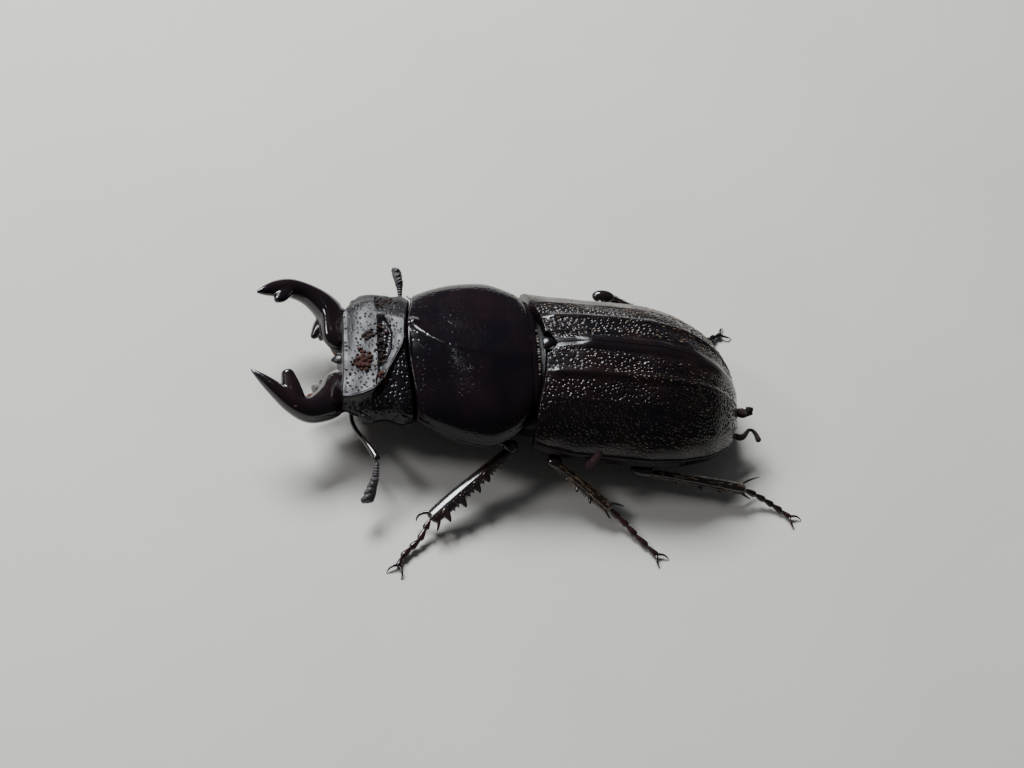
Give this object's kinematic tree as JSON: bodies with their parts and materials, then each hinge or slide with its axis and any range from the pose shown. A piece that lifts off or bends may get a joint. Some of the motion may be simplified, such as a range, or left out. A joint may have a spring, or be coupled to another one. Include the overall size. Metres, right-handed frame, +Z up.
{
  "type": "mount mangana stag beetle",
  "caption": "Still life-size male stag beetle standing on its feet, with open toothed mandibles, glossy shield and ribbed wing cases.",
  "frame": {"origin": "on the floor, under the centre of the box of the whole beetle", "axes": "the head points to -X and the tail to +X, +Z is up, and the beetle's left side is towards -Y"},
  "size_m": [0.0326, 0.0204, 0.0066],
  "materials": {
    "black_horn": "glossy black horny skin",
    "brown_black_horn": "glossy brown-black horny skin",
    "eye": "dark glossy eye"
  },
  "bodies": {
    "root": {"abdomen": "brown_black_horn", "club_left": "brown_black_horn", "club_right": "brown_black_horn", "elytron_left": "black_horn", "elytron_right": "black_horn", "eye_left": "eye", "eye_right": "eye", "femur_fore_left": "brown_black_horn", "femur_fore_right": "brown_black_horn", "femur_hind_left": "brown_black_horn", "femur_hind_right": "brown_black_horn", "femur_mid_left": "brown_black_horn", "femur_mid_right": "brown_black_horn", "head": "black_horn", "labrum": "black_horn", "mandible_left": "black_horn", "mandible_right": "black_horn", "metathorax": "brown_black_horn", "palp_left": "black_horn", "palp_right": "black_horn", "prothorax": "black_horn", "scape_left": "brown_black_horn", "scape_right": "brown_black_horn", "scutellum": "black_horn", "tarsus_fore_left": "brown_black_horn", "tarsus_fore_right": "brown_black_horn", "tarsus_hind_left": "brown_black_horn", "tarsus_hind_right": "brown_black_horn", "tarsus_mid_left": "brown_black_horn", "tarsus_mid_right": "brown_black_horn", "tibia_fore_left": "brown_black_horn", "tibia_fore_right": "brown_black_horn", "tibia_hind_left": "brown_black_horn", "tibia_hind_right": "brown_black_horn", "tibia_mid_left": "brown_black_horn", "tibia_mid_right": "brown_black_horn"}
  },
  "joints": []
}
